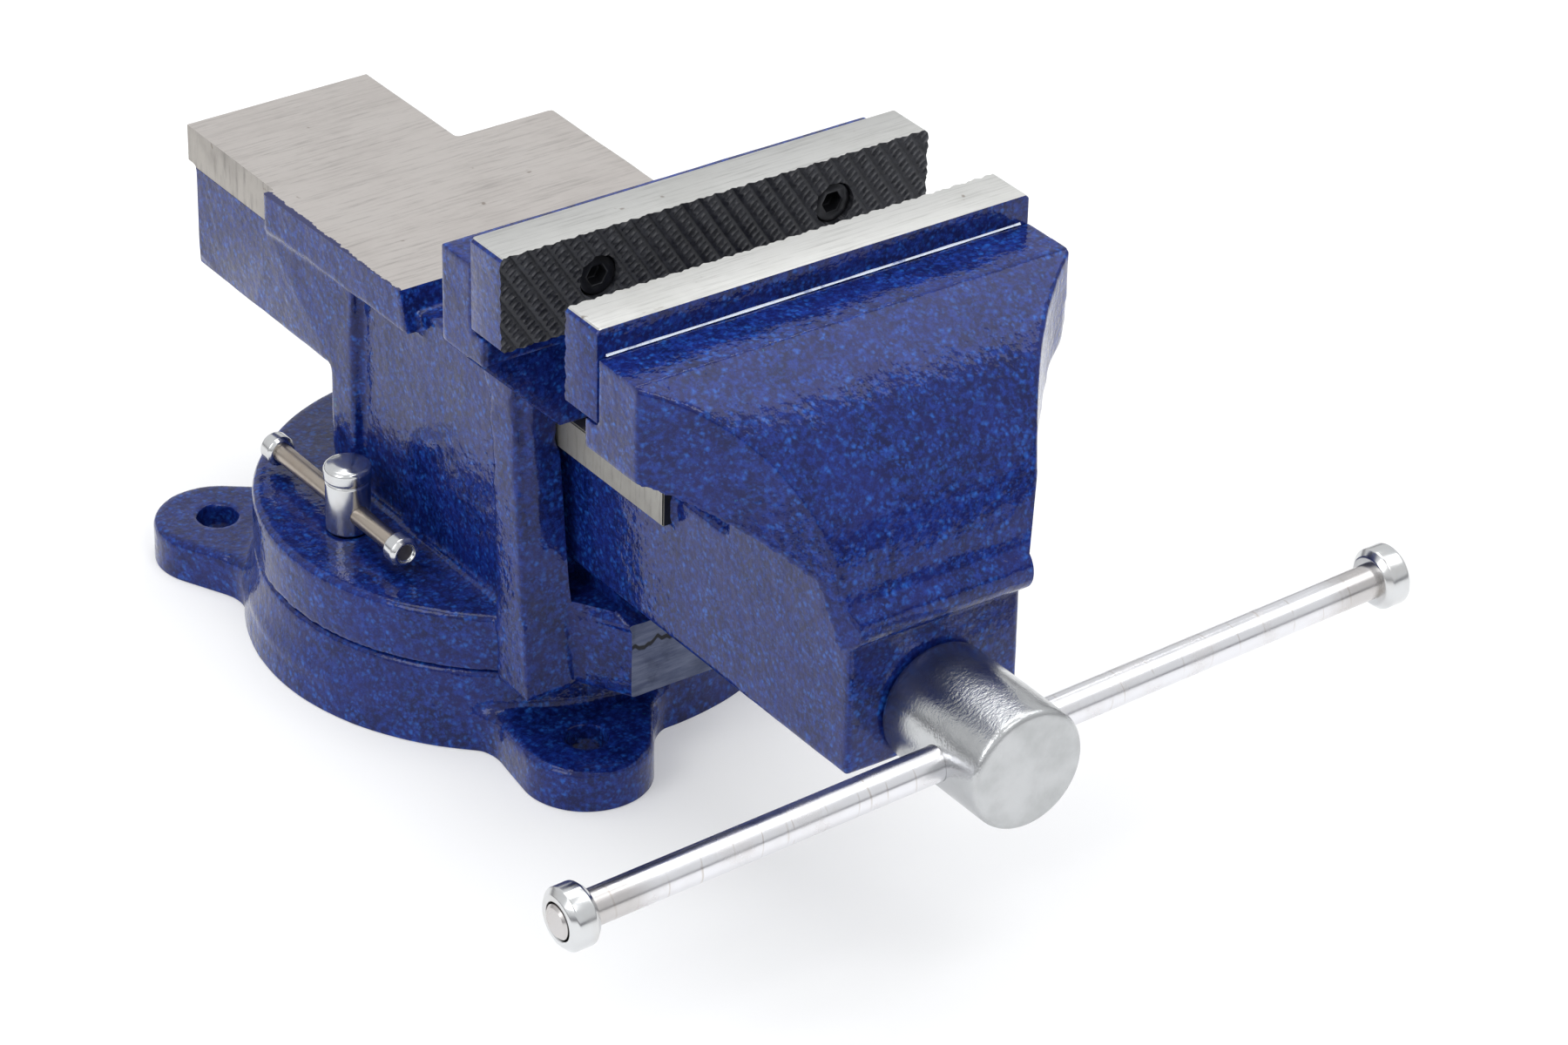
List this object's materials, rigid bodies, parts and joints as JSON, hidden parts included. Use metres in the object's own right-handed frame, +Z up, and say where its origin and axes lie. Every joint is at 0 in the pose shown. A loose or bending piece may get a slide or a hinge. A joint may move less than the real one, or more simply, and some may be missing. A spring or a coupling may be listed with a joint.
{
  "type": "swivel-base bench vise with anvil",
  "caption": "Swivel-base bench vise with wide screwed-on jaw plates, a rear anvil, a T-handle lead screw and two base lock screws.",
  "frame": {"origin": "on the swivel axis, in the plane of the base's underside", "axes": "+Z up, +Y towards the anvil end, +X to the right seen from the handle end; the lead screw lies along Y"},
  "size_m": [0.2468, 0.3203, 0.1628],
  "materials": {
    "hammertone_paint": "deep blue hammertone enamel over rough castings",
    "machined_steel": "ground and brushed, slightly stained",
    "blackened_steel": "black oxide on hardened steel",
    "chrome_plate": "bright plating",
    "screw_steel": "oiled turned steel",
    "nut_iron": "bare cast iron",
    "spring_steel": "drawn wire",
    "lock_bar_steel": "brownish drawn rod"
  },
  "bodies": {
    "base": {"swivel_base": "hammertone_paint"},
    "vise_body": {"body_casting": "hammertone_paint", "fixed_jaw_plate": "machined_steel", "fixed_jaw_screws": "blackened_steel", "lead_nut": "nut_iron", "nut_bolt": "blackened_steel", "nut_bolt_washer": "spring_steel", "lock_t_nut_left": "screw_steel", "lock_t_nut_right": "screw_steel"},
    "sliding_jaw": {"moving_jaw_casting": "hammertone_paint", "moving_jaw_plate": "machined_steel", "moving_jaw_screws": "blackened_steel"},
    "screw": {"lead_screw": "screw_steel", "take_up_washer": "spring_steel", "take_up_spring": "spring_steel", "split_pin": "spring_steel"},
    "handle": {"handle_bar": "chrome_plate", "handle_knob_left": "chrome_plate", "handle_knob_right": "chrome_plate"},
    "lock_left": {"lock_screw_left": "chrome_plate"},
    "lock_left_bar": {"lock_bar_left": "lock_bar_steel", "lock_cap_left_front": "chrome_plate", "lock_cap_left_rear": "chrome_plate"},
    "lock_right": {"lock_screw_right": "chrome_plate"},
    "lock_right_bar": {"lock_bar_right": "lock_bar_steel", "lock_cap_right_front": "chrome_plate", "lock_cap_right_rear": "chrome_plate"}
  },
  "joints": [
    {"name": "swivel", "type": "hinge", "parent": "base", "child": "vise_body", "pos_m": [0, 0, 0.0222], "axis": [0, 0, 1], "continuous": true},
    {"name": "jaw_slide", "type": "slide", "parent": "vise_body", "child": "sliding_jaw", "axis": [0, -1, 0], "range_m": [-0.0268, 0.0884]},
    {"name": "screw_turn", "type": "hinge", "parent": "sliding_jaw", "child": "screw", "pos_m": [0, -0.183, 0.0677], "axis": [0, -1, 0], "range_deg": [-1915.2, 6336]},
    {"name": "handle_slide", "type": "slide", "parent": "screw", "child": "handle", "axis": [0.9991, 0, 0.0419], "range_m": [-0.1005, 0.0975]},
    {"name": "lock_left_turn", "type": "hinge", "parent": "vise_body", "child": "lock_left", "pos_m": [-0.05, 0.003, 0.0386], "axis": [0, 0, 1], "range_deg": [-8, 16]},
    {"name": "lock_left_bar_slide", "type": "slide", "parent": "lock_left", "child": "lock_left_bar", "axis": [0, 1, 0], "range_m": [-0.0265, 0.0165]},
    {"name": "lock_right_turn", "type": "hinge", "parent": "vise_body", "child": "lock_right", "pos_m": [0.05, 0.003, 0.0386], "axis": [0, 0, -1], "range_deg": [-8, 16]},
    {"name": "lock_right_bar_slide", "type": "slide", "parent": "lock_right", "child": "lock_right_bar", "axis": [0, 1, 0], "range_m": [-0.0265, 0.0165]}
  ],
  "couplings": [
    {"joint": "jaw_slide", "follows": "screw_turn", "m_per_rad": 0.00079577}
  ]
}
